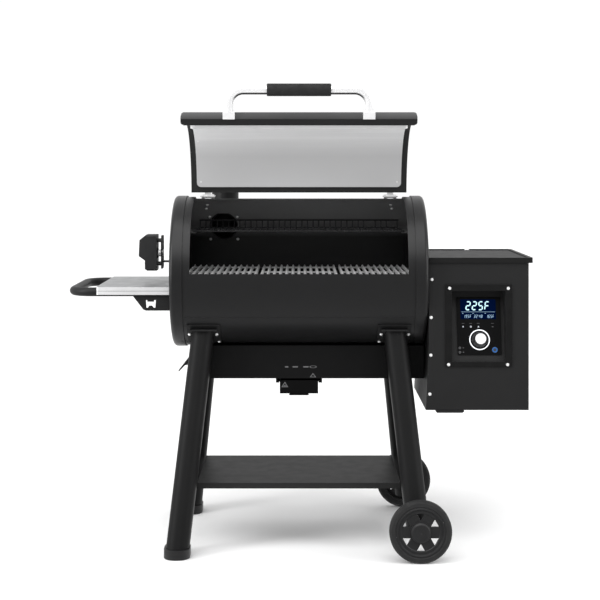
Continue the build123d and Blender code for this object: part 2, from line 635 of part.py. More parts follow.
bracket_outline = [(-390, 760), (-501, 760), (-470, 720), (-462, 717), (-390, 717)]
opener_outline = [(-462.5, 749), (-458, 749), (-458, 744), (-438, 744), (-438, 749), (-432.5, 749),
                  (-434, 725.5), (-439, 725.5), (-444, 732), (-452, 732), (-457, 725.5), (-461, 725.5)]
with BuildPart() as side_shelf_brackets:
    for plate_y in (-172, 196):
        with BuildSketch(Plane.XZ.offset(-plate_y)):
            Polygon(*bracket_outline, align=None)
        extrude(amount=4)
    with BuildSketch(Plane.XZ.offset(160)):
        Polygon(*opener_outline, align=None)
    extrude(amount=30, mode=Mode.SUBTRACT)
    for flange_y in ((-176, -150), (170, 196)):
        block((-394, -389.3), flange_y, (717, 758))
save(side_shelf_brackets, "side_shelf_brackets")

# ---- hopper ----
wall_outline = [(HOPPER_FOOT_LEFT, HOPPER_LOW), (HOPPER_LEFT, 620), (HOPPER_LEFT, HOPPER_TOP),
                (HOPPER_RIGHT, HOPPER_TOP), (HOPPER_RIGHT, HOPPER_LOW)]
inside_outline = [(HOPPER_FOOT_LEFT + SHEET, HOPPER_LOW + SHEET), (HOPPER_LEFT + SHEET, 620),
                  (HOPPER_LEFT + SHEET, HOPPER_TOP + 5), (HOPPER_RIGHT - SHEET, HOPPER_TOP + 5),
                  (HOPPER_RIGHT - SHEET, HOPPER_LOW + SHEET)]
with BuildPart() as hopper_box:
    with BuildSketch(Plane.XZ.offset(-HOPPER_BACK)):
        Polygon(*wall_outline, align=None)
    extrude(amount=HOPPER_BACK - HOPPER_FRONT - SHEET)
    with BuildSketch(Plane.XZ.offset(-HOPPER_BACK + SHEET)):
        Polygon(*inside_outline, align=None)
    extrude(amount=HOPPER_BACK - HOPPER_FRONT + 10, mode=Mode.SUBTRACT)
    rod_x(AUGER_TUBE_R + GAP, (370, 400), 0, AUGER_Z, mode=Mode.SUBTRACT)
    rod_x(26, (370, 400), FAN_Y, FAN_Z, mode=Mode.SUBTRACT)
    block((DUCT_X - 28, DUCT_X + 28), (-28, 28), (415, 430), mode=Mode.SUBTRACT)
    # guide rails of the dump gate
    for side in (-1, 1):
        block(sorted((DUCT_X + side * 39, DUCT_X + side * 42)), (-190, 40), (415, HOPPER_LOW + 1))
        block(sorted((DUCT_X + side * 34, DUCT_X + side * 42)), (-190, 40), (413, 415.5))
    block((600, 648), (HOPPER_BACK - 5, HOPPER_BACK + 5), (470, 498), mode=Mode.SUBTRACT)
save(hopper_box, "hopper_box")

with BuildPart() as hopper_front_panel:
    with BuildSketch(Plane.XZ.offset(-HOPPER_FRONT - SHEET)):
        Polygon(*wall_outline, align=None)
    extrude(amount=SHEET)
    block((RECESS_X[0] - 3.3, RECESS_X[1] + 3.3), (-210, -190), (RECESS_Z[0] - 3.3, RECESS_Z[1] + 3.3),
          mode=Mode.SUBTRACT)
save(hopper_front_panel, "hopper_front_panel")

with BuildPart() as hopper_lid:
    block((391.3, HOPPER_LID_RIGHT), (-206, 222), (HOPPER_TOP + GAP, 879))
    fillet(edges().filter_by(Axis.Z).sort_by(Axis.X)[-2:], 6)
    block((403, 690), (-194, 210), (876, 880), mode=Mode.SUBTRACT)
    block((547, 563), (209, 223), (876, 880), mode=Mode.SUBTRACT)
    block((393.3, 700), (-204, 220), (HOPPER_TOP, 874), mode=Mode.SUBTRACT)
    for middle in (450, 630):
        block((middle - 12, middle + 12), (221, LID_PIN_Y), (866, 872))
        rod_x(5.5, (middle - 12, middle + 12), LID_PIN_Y, LID_PIN_Z)
        rod_x(3.06, (middle - 13, middle + 13), LID_PIN_Y, LID_PIN_Z, mode=Mode.SUBTRACT)
save(hopper_lid, "hopper_lid")

with BuildPart() as hopper_lid_hinge:
    for middle in (450, 630):
        rod_x(3, (middle - 26, middle + 26), LID_PIN_Y, LID_PIN_Z)
        for start in (middle - 24, middle + 12.5):
            rod_x(5.5, (start, start + 11.5), LID_PIN_Y, LID_PIN_Z)
            with BuildSketch(Plane.YZ.offset(start)):
                Polygon((HOPPER_BACK, 852), (HOPPER_BACK + 2.5, 850), (LID_PIN_Y + 5, LID_PIN_Z - 2),
                        (LID_PIN_Y - 4, LID_PIN_Z - 3.5), align=None)
            extrude(amount=11.5)
        block((middle - 24, middle + 24), (HOPPER_BACK, HOPPER_BACK + 2), (820, 853))
save(hopper_lid_hinge, "hopper_lid_hinge")

with BuildPart() as bin_cavity:
    with BuildSketch(Plane.XY.offset(850)):
        with Locations((538, 52.5)):
            Rectangle(280, 301)
    with BuildSketch(Plane.XY.offset(640)):
        with Locations((DUCT_X, 0)):
            Rectangle(2 * DUCT_HALF, 2 * DUCT_HALF)
    loft()
    block((398, 678), (-98, 203), (849, 862))
    block((DUCT_X - DUCT_HALF, DUCT_X + DUCT_HALF), (-DUCT_HALF, DUCT_HALF), (420, 641))

with BuildPart() as hopper_bin:
    with BuildSketch(Plane.XY.offset(850)):
        with Locations((538, 52.5)):
            Rectangle(284, 305)
    with BuildSketch(Plane.XY.offset(638)):
        with Locations((DUCT_X, 0)):
            Rectangle(2 * DUCT_HALF + 4, 2 * DUCT_HALF + 4)
    loft()
    block((396, 680), (-100, 205), (849, 856))
    block((DUCT_X - DUCT_HALF - 2, DUCT_X + DUCT_HALF + 2), (-DUCT_HALF - 2, DUCT_HALF + 2), (424, 640))
    add(bin_cavity.part, mode=Mode.SUBTRACT)
    rod_x(AUGER_TUBE_R, (415, 430), 0, AUGER_Z, mode=Mode.SUBTRACT)
    rod_x(AUGER_SHAFT_R + 0.3, (480, 490), 0, AUGER_Z, mode=Mode.SUBTRACT)
save(hopper_bin, "hopper_bin")

with BuildPart() as bin_grille:
    for wire in range(12):
        rod_y(2, (-80, 185), 420 + 21.5 * wire, 836)
    for wire_y in (-80, 52, 185):
        rod_x(2.5, (414, 662), wire_y, 836)
save(bin_grille, "bin_grille")

with BuildPart() as dump_gate:
    block((DUCT_X - 38, DUCT_X + 38), (-195, 38), (416.5, 419.5))
    block((DUCT_X - 41, DUCT_X + 37), (-202, -195), (413, 420))
save(dump_gate, "dump_gate")

with BuildPart() as power_inlet:
    block((600.3, 647.7), (195, HOPPER_BACK + 1), (470.3, 497.7))
    block((596, 652), (HOPPER_BACK, HOPPER_BACK + 3), (466, 502))
    block((606, 642), (202, HOPPER_BACK + 5), (474, 494), mode=Mode.SUBTRACT)
    for blade_x in (615, 624, 633):
        block((blade_x - 1, blade_x + 1), (200, 214), (481, 487))
save(power_inlet, "power_inlet")

# ---- control panel ----
lean = math.radians(PANEL_TILT)
FACE = Plane(origin=PANEL, x_dir=(1, 0, 0), z_dir=(0, -math.cos(lean), math.sin(lean)))

with BuildPart() as bezel_cavity:
    block(RECESS_X, (-215, -110), RECESS_Z)
    with BuildSketch(FACE.offset(-3)):
        Rectangle(600, 600)
    extrude(amount=-200, mode=Mode.SUBTRACT)

with BuildPart() as control_bezel:
    block((RECESS_X[0] - 3, RECESS_X[1] + 3), (HOPPER_FRONT - 1, -130), (RECESS_Z[0] - 3, RECESS_Z[1] + 3))
    with BuildSketch(FACE.offset(-6)):
        Rectangle(600, 600)
    extrude(amount=-200, mode=Mode.SUBTRACT)
    block(BEZEL_X, (HOPPER_FRONT - 4, HOPPER_FRONT), BEZEL_Z)
    add(bezel_cavity.part, mode=Mode.SUBTRACT)
    with BuildSketch(FACE.offset(-10)):
        for key_u in KEYS:
            with Locations((key_u, KEY_V)):
                Circle(3.7)
        with Locations((POWER_U, POWER_V)):
            Circle(9.2)
        with Locations((0, KNOB_V)):
            Circle(4.5)
    extrude(amount=12, mode=Mode.SUBTRACT)
save(control_bezel, "control_bezel")

with BuildPart() as control_glass:
    with BuildSketch(FACE.offset(-2.9)):
        RectangleRounded(GLASS_WIDE, GLASS_HIGH, 3)
        for key_u in KEYS:
            with Locations((key_u, KEY_V)):
                Circle(3.7, mode=Mode.SUBTRACT)
        with Locations((POWER_U, POWER_V)):
            Circle(9.2, mode=Mode.SUBTRACT)
        with Locations((0, KNOB_V)):
            Circle(4.5, mode=Mode.SUBTRACT)
    extrude(amount=2.9)
save(control_glass, "control_glass")

for index, key_u in enumerate(KEYS, start=1):
    with BuildPart() as panel_key:
        with BuildSketch(FACE.offset(-9)):
            with Locations((key_u, KEY_V)):
                Circle(3.4)
        extrude(amount=10)
    save(panel_key, f"panel_key_{index}")

with BuildPart() as power_button:
    with BuildSketch(FACE.offset(-9)):
        with Locations((POWER_U, POWER_V)):
            Circle(8.9)
    extrude(amount=10.5)
    fillet(edges().group_by(Axis.Y)[0], 1)
save(power_button, "power_button")

with BuildPart() as knob_ring:
    with BuildSketch(FACE.offset(0.1)):
        with Locations((0, KNOB_V)):
            Circle(32)
            Circle(26, mode=Mode.SUBTRACT)
    extrude(amount=5)
    fillet(edges().group_by(Axis.Y)[0], 1.5)
save(knob_ring, "knob_ring")

with BuildPart() as control_knob:
    with BuildSketch(FACE.offset(0.6)):
        with Locations((0, KNOB_V)):
            Circle(24)
    extrude(amount=32, taper=10)
    with BuildSketch(FACE.offset(-8)):
        with Locations((0, KNOB_V)):
            Circle(3.5)
    extrude(amount=10)
save(control_knob, "control_knob")

with BuildPart() as control_board:
    with BuildSketch(FACE.offset(-32)):
        Rectangle(120, 160)
    extrude(amount=4)
    with BuildSketch(FACE.offset(-28)):
        with Locations((0, 50)):
            Rectangle(110, 62)
    extrude(amount=16)
    with BuildSketch(FACE.offset(-28)):
        with Locations((0, KNOB_V)):
            Circle(9)
    extrude(amount=19)
save(control_board, "control_board")

# ---- rotisserie drive ----
motor_outline = [(-445, 939), (-478, 939), (-499, 922), (-501, 872), (-482, 858), (-482, 832),
                 (-475, 826), (-445, 826)]
with BuildPart() as rotisserie_motor:
    with BuildSketch(Plane.XZ.offset(-32)):
        Polygon(*motor_outline, align=None)
    extrude(amount=64)
    chamfer(edges().filter_by(Axis.X), 5)
    rod_x(17, (-446, -442.5), 0, SPIT_Z)
    rod_x(11.05, (-460, -440), 0, SPIT_Z, mode=Mode.SUBTRACT)
    block((-490, -474), (-9, 9), (834, 852), mode=Mode.SUBTRACT)
save(rotisserie_motor, "rotisserie_motor")

with BuildPart() as rotisserie_switch:
    with BuildSketch(Plane.XZ.offset(-8)):
        Polygon((-477, 834.8), (-484, 836), (-482.5, 843), (-485.5, 850), (-477, 851.2), align=None)
    extrude(amount=16)
save(rotisserie_switch, "rotisserie_switch")

with BuildPart() as rotisserie_socket:
    rod_x(11, (-459, -426), 0, SPIT_Z)
    block((-442, -420), (-4.5, 4.5), (SPIT_Z - 4.5, SPIT_Z + 4.5), mode=Mode.SUBTRACT)
save(rotisserie_socket, "rotisserie_socket")

with BuildPart() as rotisserie_bracket:
    with BuildSketch(Plane.YZ.offset(-432)):
        Polygon((-24, 832), (24, 832), (32, 850), (32, 918), (24, 936), (-24, 936), (-32, 918),
                (-32, 850), align=None)
        with Locations((0, SPIT_Z)):
            Circle(18, mode=Mode.SUBTRACT)
    extrude(amount=4)
    for stand_y in (-22, 22):
        for stand_z in (847, 920):
            rod_x(5, (-445, -430), stand_y, stand_z)
    block((-430, -387.3), (-22, 22), (852, 856))
save(rotisserie_bracket, "rotisserie_bracket")


# ---- fasteners ----
def screw_at(place):
    """A pan-head thread-cutting screw whose head sits on the place's plane."""
    with Locations(place):
        Cylinder(2.4, 9, align=(Align.CENTER, Align.CENTER, Align.MAX))
        Cone(5, 3.4, 3, align=(Align.CENTER, Align.CENTER, Align.MIN))


def on_barrel(x, radius, degrees, inward=False):
    """A place on the barrel's surface, facing outwards or inwards."""
    out = Vector(0, *polar(1, degrees))
    centre = Vector(x, 0, AXIS_Z) + out * radius
    return Plane(centre, x_dir=(1, 0, 0), z_dir=-out if inward else out).location


with BuildPart() as machine_screws:
    for side in (-1, 1):
        for reach in (-1, 1):
            flange_angle = math.degrees(math.asin((PORT_Z - 5 + reach * 38 - AXIS_Z) / SHELL_R))
            screw_at(on_barrel(PORT_X + side * 45, SHELL_R - SHEET, flange_angle, True))
        for shift, angle in ((9, 56), (4, 62)):
            screw_at(on_barrel(side * (HINGE_X + shift), SHELL_R - SHEET, angle, True))
        for first, turn_way in ((180, 1), (360, -1)):
            for offset_x, angle in ((44, 50.5), (-39, 50.5), (-43, 62.5)):
                screw_at(on_barrel(side * (289 + offset_x), SADDLE_R, first + turn_way * angle))
    for screw_x, screw_z in ((452, 787), (628, 787), (449, 558), (626, 558)):
        screw_at(Plane((screw_x, HOPPER_FRONT - 4, screw_z), x_dir=(1, 0, 0), z_dir=(0, -1, 0)).location)
    for screw_x, screw_z in ((399, 813), (397, 699), (396, 586), (393, 469)):
        screw_at(Plane((screw_x, HOPPER_FRONT, screw_z), x_dir=(1, 0, 0), z_dir=(0, -1, 0)).location)
save(machine_screws, "machine_screws")
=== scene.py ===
import json
import math

import bmesh
import bpy
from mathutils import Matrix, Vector


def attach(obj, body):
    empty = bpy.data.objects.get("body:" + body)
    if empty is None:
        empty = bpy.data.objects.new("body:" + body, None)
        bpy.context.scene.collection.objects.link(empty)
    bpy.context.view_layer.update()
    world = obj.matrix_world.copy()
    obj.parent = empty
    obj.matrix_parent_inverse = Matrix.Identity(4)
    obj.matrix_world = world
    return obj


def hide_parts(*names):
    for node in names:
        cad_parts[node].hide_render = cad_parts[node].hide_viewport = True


# A pellet smoker grill in metres: +X along the barrel towards the hopper, -Y the front,
# +Z up, with the lid standing open.
BARREL_AXIS = 0.825  # height of the barrel's centre line
INNER_WALL = 0.2306  # the barrel's radius, just outside its inner face
BAR_PITCH = 0.019
GRATE_HALF = 0.201  # half the grates' depth
KNOB_V = -0.0418  # the knob's centre on the control glass
KEY_V = -0.002  # the row of keys
HOUSING_FRONT = -0.096
CUP_FRONT = -0.099
FRONT = (0, -1, 0)

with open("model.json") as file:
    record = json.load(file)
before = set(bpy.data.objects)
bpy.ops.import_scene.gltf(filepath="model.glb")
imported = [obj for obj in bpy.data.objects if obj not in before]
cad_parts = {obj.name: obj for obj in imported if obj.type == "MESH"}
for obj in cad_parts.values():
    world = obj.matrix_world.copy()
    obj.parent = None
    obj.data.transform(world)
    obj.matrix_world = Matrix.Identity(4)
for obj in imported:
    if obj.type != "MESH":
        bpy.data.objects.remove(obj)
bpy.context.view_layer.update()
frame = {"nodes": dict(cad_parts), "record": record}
nodes = frame["nodes"]
scene = bpy.context.scene

# ---- camera ----
lens = bpy.data.cameras.new("camera")
lens.lens = 81.6
lens.sensor_width = 36.0
lens.shift_x = 0.0017
lens.shift_y = -0.225
camera = bpy.data.objects.new("camera", lens)
camera.location = (0.0, -4.284, 1.157)
camera.rotation_euler = (math.radians(90), 0, 0)
scene.collection.objects.link(camera)
scene.camera = camera
scene.view_settings.view_transform = "Standard"


# ---- materials ----
class Finish:
    """A Principled material whose colour, roughness and relief vary over the surface."""

    def __init__(self, name, base, rough, metallic=0.0, specular=0.5):
        self.material = bpy.data.materials.new(name)
        self.material.use_nodes = True
        self.tree = self.material.node_tree
        self.tree.nodes.clear()
        out = self.tree.nodes.new("ShaderNodeOutputMaterial")
        self.shader = self.tree.nodes.new("ShaderNodeBsdfPrincipled")
        self.join(self.shader.outputs[0], out.inputs[0])
        self.set("Base Color", (*base, 1))
        self.set("Roughness", rough)
        self.set("Metallic", metallic)
        self.set("Specular IOR Level", specular)
        self.place = self.tree.nodes.new("ShaderNodeTexCoord").outputs["Object"]
        self.base = base

    def set(self, socket, value):
        self.shader.inputs[socket].default_value = value
        return self

    def join(self, source, target):
        self.tree.links.new(source, target)

    def noise(self, scale, detail=3.0, stretch=(1, 1, 1)):
        """Fractal noise over the object, with features about 1 / scale metres across."""
        spot = self.place
        if stretch != (1, 1, 1):
            mapping = self.tree.nodes.new("ShaderNodeMapping")
            mapping.inputs["Scale"].default_value = stretch
            self.join(self.place, mapping.inputs["Vector"])
            spot = mapping.outputs[0]
        texture = self.tree.nodes.new("ShaderNodeTexNoise")
        texture.inputs["Scale"].default_value = scale
        texture.inputs["Detail"].default_value = detail
        self.join(spot, texture.inputs["Vector"])
        return texture.outputs["Fac"]

    def spots(self, scale):
        """Rounded cells, for pits and moulded grain."""
        texture = self.tree.nodes.new("ShaderNodeTexVoronoi")
        texture.inputs["Scale"].default_value = scale
        self.join(self.place, texture.inputs["Vector"])
        return texture.outputs["Distance"]

    def edges(self, radius):
        """1 along sharp edges, 0 on open faces."""
        bevel = self.tree.nodes.new("ShaderNodeBevel")
        bevel.samples = 4
        bevel.inputs["Radius"].default_value = radius
        plain = self.tree.nodes.new("ShaderNodeNewGeometry")
        dot = self.tree.nodes.new("ShaderNodeVectorMath")
        dot.operation = "DOT_PRODUCT"
        self.join(bevel.outputs[0], dot.inputs[0])
        self.join(plain.outputs["Normal"], dot.inputs[1])
        span = self.tree.nodes.new("ShaderNodeMapRange")
        span.inputs["From Min"].default_value = 0.99
        span.inputs["From Max"].default_value = 0.8
        self.join(dot.outputs["Value"], span.inputs["Value"])
        return span.outputs[0]

    def within(self, radius, height):
        """1 inside a cylinder about an axis along X at that height, 0 outside it."""
        shift = self.tree.nodes.new("ShaderNodeVectorMath")
        shift.operation = "SUBTRACT"
        shift.inputs[1].default_value = (0, 0, height)
        flatten = self.tree.nodes.new("ShaderNodeVectorMath")
        flatten.operation = "MULTIPLY"
        flatten.inputs[1].default_value = (0, 1, 1)
        length = self.tree.nodes.new("ShaderNodeVectorMath")
        length.operation = "LENGTH"
        self.join(self.place, shift.inputs[0])
        self.join(shift.outputs[0], flatten.inputs[0])
        self.join(flatten.outputs[0], length.inputs[0])
        return self.span(length.outputs["Value"], 1.0, 0.0, radius, radius + 0.0002)

    def facing(self, direction, start=0.5, end=0.8):
        """1 where the surface faces a direction, 0 where it is turned away from it."""
        dot = self.tree.nodes.new("ShaderNodeVectorMath")
        dot.operation = "DOT_PRODUCT"
        dot.inputs[1].default_value = direction
        self.join(self.tree.nodes.new("ShaderNodeTexCoord").outputs["Normal"], dot.inputs[0])
        return self.span(dot.outputs["Value"], 0.0, 1.0, start, end)

    def span(self, source, low, high, start=0.35, end=0.65):
        """Map a texture's middle range onto two values."""
        node = self.tree.nodes.new("ShaderNodeMapRange")
        limits = {"From Min": start, "From Max": end, "To Min": low, "To Max": high}
        for socket, value in limits.items():
            node.inputs[socket].default_value = value
        self.join(source, node.inputs["Value"])
        return node.outputs[0]

    def above(self, axis, start, end):
        """1 beyond a coordinate along an axis of the object, 0 before it."""
        split = self.tree.nodes.new("ShaderNodeSeparateXYZ")
        self.join(self.place, split.inputs[0])
        return self.span(split.outputs[axis], 0.0, 1.0, start, end)

    def both(self, one, two):
        """The product of two masks."""
        node = self.tree.nodes.new("ShaderNodeMath")
        node.operation = "MULTIPLY"
        self.join(one, node.inputs[0])
        self.join(two, node.inputs[1])
        return node.outputs[0]

    def tint(self, factor, colour):
        """Blend the base colour towards another where the factor is high."""
        node = self.tree.nodes.new("ShaderNodeMix")
        node.data_type = "RGBA"
        self.join(factor, node.inputs["Factor"])
        socket = self.shader.inputs["Base Color"]
        if socket.is_linked:
            self.join(socket.links[0].from_socket, node.inputs[6])
        else:
            node.inputs[6].default_value = (*self.base, 1)
        node.inputs[7].default_value = (*colour, 1)
        self.join(node.outputs[2], socket)
        return self

    def polish(self, factor, low, high):
        """Vary the roughness between two values."""
        self.join(self.span(factor, low, high), self.shader.inputs["Roughness"])
        return self

    def relief(self, source, depth, strength=1.0):
        """Add a bump of about that many metres."""
        node = self.tree.nodes.new("ShaderNodeBump")
        node.inputs["Distance"].default_value = depth
        node.inputs["Strength"].default_value = strength
        self.join(source, node.inputs["Height"])
        socket = self.shader.inputs["Normal"]
        if socket.is_linked:
            self.join(socket.links[0].from_socket, node.inputs["Normal"])
        self.join(node.outputs[0], socket)
        return self

    def soften(self, radius):
        """Round sharp edges in the shading."""
        node = self.tree.nodes.new("ShaderNodeBevel")
        node.samples = 4
        node.inputs["Radius"].default_value = radius
        self.join(node.outputs[0], self.shader.inputs["Normal"])
        return self


def painted(name, base, rough, specular, grain, worn):
    """Baked or powder-coated paint: fine orange peel, faint dust and lighter rubbed edges."""
    paint = Finish(name, base, rough, specular=specular).soften(0.0012)
    paint.relief(paint.noise(grain, 2.0), 0.00006, 0.6)
    paint.tint(paint.span(paint.noise(6, 4.0), 0.0, 0.3), [c * 1.2 + 0.001 for c in base])
    paint.tint(paint.span(paint.noise(160, 3.0), 0.0, 0.25, 0.55, 0.8), [c * 0.75 for c in base])
    paint.tint(paint.span(paint.edges(0.0016), 0.0, 0.5, 0.2, 1.0), worn)
    paint.polish(paint.noise(25, 3.0), rough - 0.015, rough + 0.025)
    return paint


def steel(name, base, rough, lay, fine=900):
    """Metal brushed along one direction, given as how closely each axis is ruled."""
    metal = Finish(name, base, rough, metallic=1.0).soften(0.001)
    ruled = metal.noise(fine, 2.0, lay)
    metal.relief(ruled, 0.00003, 0.5)
    metal.tint(metal.span(ruled, 0.0, 0.3), [c * 0.82 for c in base])
    metal.tint(metal.span(metal.noise(5, 4.0), 0.0, 0.25), [c * 0.9 for c in base])
    metal.polish(metal.noise(30, 3.0), rough - 0.06, rough + 0.08)
    return metal


finishes = {}
enamel = painted("enamel", (0.0095, 0.0095, 0.0099), 0.34, 0.32, 420, (0.03, 0.03, 0.03))
# painted highlight: the barrel's inner wall is paler above the grates
painted_shading_zone = enamel.both(enamel.within(INNER_WALL, BARREL_AXIS), enamel.above("Z", 0.92, 0.975))
enamel.tint(painted_shading_zone, (0.135, 0.135, 0.136))
finishes["black_enamel"] = enamel
finishes["black_powder_coat"] = painted("powder_coat", (0.0110, 0.0110, 0.0113), 0.50, 0.24,
                                        900, (0.032, 0.032, 0.032))
shelf = steel("shelf_top", (0.31, 0.315, 0.32), 0.45, (1, 0.02, 1)).set("Metallic", 0.6)
# painted highlight: the shelf's faces to the front are paler
shelf.tint(shelf.facing(FRONT), (0.76, 0.76, 0.765))
finishes["shelf_steel"] = shelf
zinc = steel("zinc", (0.97, 0.97, 0.97), 0.34, (1, 1, 1), 300).set("Metallic", 0.4)
# painted shade: screw heads inside the barrel are duller
painted_shading_zone = zinc.both(zinc.within(INNER_WALL + 0.0002, BARREL_AXIS), zinc.above("Y", 0.0, 0.05))
zinc.tint(painted_shading_zone, (0.50, 0.50, 0.50))
finishes["zinc_steel"] = zinc
finishes["rack_steel"] = steel("rack_wire", (0.035, 0.035, 0.036), 0.5, (0.2, 1, 1), 500)

liner = Finish("liner", (0.86, 0.86, 0.865), 0.52, metallic=0.35, specular=0.4).soften(0.001)
ruled = liner.noise(700, 2.0, (0.01, 1, 1))
liner.relief(ruled, 0.00003, 0.35)
liner.tint(liner.span(ruled, 0.0, 0.16), (0.68, 0.68, 0.685))
liner.tint(liner.span(liner.noise(40, 2.0, (0.04, 1, 1)), 0.0, 0.22), (0.66, 0.66, 0.665))
liner.polish(ruled, 0.50, 0.56)
# painted shade: the liner is darker where it faces the front
liner.tint(liner.facing(FRONT), (0.60, 0.60, 0.605))
finishes["liner_steel"] = liner

chrome = Finish("chrome", (0.96, 0.96, 0.965), 0.07, metallic=0.45)
chrome.tint(chrome.span(chrome.noise(40, 4.0), 0.0, 0.2), (0.88, 0.88, 0.89))
# painted shade: the chrome's faces turned down are nearly black
chrome.tint(chrome.facing((0, 0, -1), 0.5, 0.75), (0.012, 0.012, 0.013))
chrome.polish(chrome.noise(90, 4.0), 0.05, 0.12)
chrome.relief(chrome.noise(25, 2.0), 0.00008, 0.25)
finishes["handle_chrome"] = chrome

grip = Finish("grip", (0.0115, 0.0115, 0.012), 0.66, specular=0.32)
grip.relief(grip.spots(700), 0.0001, 0.7)
grip.tint(grip.span(grip.noise(60, 3.0), 0.0, 0.5), (0.017, 0.017, 0.0175))
grip.polish(grip.noise(50, 3.0), 0.62, 0.8)
finishes["grip_rubber"] = grip

iron = Finish("porcelain_iron", (0.62, 0.62, 0.622), 0.26, specular=0.8)
iron.relief(iron.noise(260, 4.0), 0.0002, 0.7)
iron.tint(iron.span(iron.noise(45, 5.0), 0.0, 0.6), (0.38, 0.38, 0.38))
iron.tint(iron.span(iron.noise(14, 3.0), 0.0, 0.5, 0.5, 0.75), (0.80, 0.80, 0.80))
iron.polish(iron.noise(80, 3.0), 0.28, 0.5)
finishes["grate_iron"] = iron

zinc_sheet = Finish("galvanised", (0.40, 0.41, 0.42), 0.45, metallic=1.0).soften(0.001)
zinc_sheet.tint(zinc_sheet.span(zinc_sheet.spots(45), 0.0, 0.5, 0.1, 0.6), (0.30, 0.31, 0.33))
zinc_sheet.tint(zinc_sheet.span(zinc_sheet.noise(9, 4.0), 0.0, 0.5), (0.26, 0.23, 0.2))
zinc_sheet.polish(zinc_sheet.noise(60, 3.0), 0.36, 0.6)
zinc_sheet.relief(zinc_sheet.noise(300, 3.0), 0.00005, 0.6)
finishes["galvanised_steel"] = zinc_sheet

burner = Finish("burnt_steel", (0.12, 0.11, 0.10), 0.6, metallic=1.0).soften(0.001)
burner.tint(burner.span(burner.noise(22, 5.0), 0.0, 0.7), (0.10, 0.06, 0.05))
burner.tint(burner.span(burner.noise(60, 4.0), 0.0, 0.8, 0.5, 0.8), (0.02, 0.02, 0.02))
burner.polish(burner.noise(40, 3.0), 0.5, 0.75)
burner.relief(burner.noise(400, 4.0), 0.0002, 0.6)
finishes["burner_steel"] = burner

tyre = Finish("tyre", (0.0135, 0.0135, 0.014), 0.66, specular=0.32)
tyre.relief(tyre.noise(700, 3.0), 0.0001, 0.7)
tyre.tint(tyre.span(tyre.noise(25, 5.0), 0.0, 0.5), (0.020, 0.020, 0.0195))
tyre.polish(tyre.noise(60, 3.0), 0.62, 0.82)
finishes["tyre_rubber"] = tyre


def moulding(name, base, rough, grain):
    """Moulded plastic with an etched grain and rounded arrises."""
    plastic = Finish(name, base, rough, specular=0.4).soften(0.001)
    plastic.relief(plastic.spots(grain), 0.00006, 0.6)
    plastic.tint(plastic.span(plastic.noise(12, 4.0), 0.0, 0.4), [c * 1.35 for c in base])
    plastic.tint(plastic.span(plastic.noise(220, 2.0), 0.0, 0.25), [c * 0.8 for c in base])
    plastic.polish(plastic.noise(50, 3.0), rough - 0.06, rough + 0.08)
    return plastic


finishes["wheel_plastic"] = moulding("wheel_plastic", (0.0115, 0.0115, 0.012), 0.40, 900)
finishes["moulded_plastic"] = moulding("moulded_plastic", (0.0115, 0.0115, 0.012), 0.50, 1100)
bezel = moulding("bezel_plastic", (0.0150, 0.0150, 0.0152), 0.5, 1300)
bezel.set("Specular IOR Level", 0.20)
# painted shade: the bezel's faces square to the front are darker
bezel.tint(bezel.facing(FRONT, 0.985, 0.995), (0.0045, 0.0045, 0.0046))
finishes["bezel_plastic"] = bezel
finishes["button_plastic"] = moulding("button_plastic", (0.030, 0.034, 0.045), 0.3, 1500)

ring_white = moulding("opal_ring", (0.80, 0.81, 0.83), 0.3, 1500)
ring_white.set("Emission Color", (0.9, 0.95, 1.0, 1)).set("Emission Strength", 0.45)
finishes["ring_white"] = ring_white

panel = Finish("panel_lens", (0.0035, 0.0035, 0.0037), 0.34, specular=0.08)
panel.tint(panel.span(panel.noise(9, 2.0), 0.0, 0.3), (0.0050, 0.0050, 0.0052))
panel.polish(panel.noise(20, 2.0), 0.28, 0.33)
panel.relief(panel.noise(18, 2.0), 0.00002, 0.2)
finishes["panel_gloss"] = panel

board = Finish("circuit_board", (0.02, 0.12, 0.05), 0.4)
board.tint(board.span(board.spots(300), 0.0, 0.8, 0.05, 0.3), (0.10, 0.22, 0.08))
board.polish(board.noise(80, 3.0), 0.3, 0.5)
board.relief(board.spots(260), 0.0002, 0.6)
finishes["circuit_board"] = board


def recoat(node, finish):
    """Give a CAD mesh one finish."""
    materials = nodes[node].data.materials
    materials.clear()
    materials.append(finish.material)


for entry in frame["record"]["subparts"]:
    recoat(entry["node"], finishes[entry["material_slot"]])
# painted shade: parts in shade, such as the housing under the barrel, get darker copies of the coat
# the copies: node, shine, depth (their darker base), and how pale the faces to the front are
LIT_AND_SHADED_COATS = (("lower_housing", 0.10, 0.0055, None), ("lower_shelf", 0.10, 0.0060, 0.020),
         ("ash_cup", 0.08, 0.0030, None), ("left_legs", 0.16, 0.0065, None),
         ("right_legs", 0.16, 0.0065, None), ("hopper_lid", 0.11, 0.0060, 0.0100),
         ("lid_shell", 0.32, 0.0095, 0.020))
for node, shine, depth, painted_front_light in LIT_AND_SHADED_COATS:
    coat = painted(f"{node}_coat", (depth, depth, depth * 1.03), 0.50, shine, 900,
                   (depth * 3, depth * 3, depth * 3))
    # painted highlight: the faces to the front are paler
    if painted_front_light:
        coat.tint(coat.facing(FRONT, 0.3, 0.6), (painted_front_light, painted_front_light, painted_front_light))
    recoat(node, coat)
# the lid's front trim catches light along its top
trim = painted("trim_coat", (0.0095, 0.0095, 0.0098), 0.40, 0.32, 900, (0.03, 0.03, 0.03))
trim.tint(trim.above("Z", 1.292, 1.312), (0.075, 0.075, 0.076))
recoat("lid_front_trim", trim)


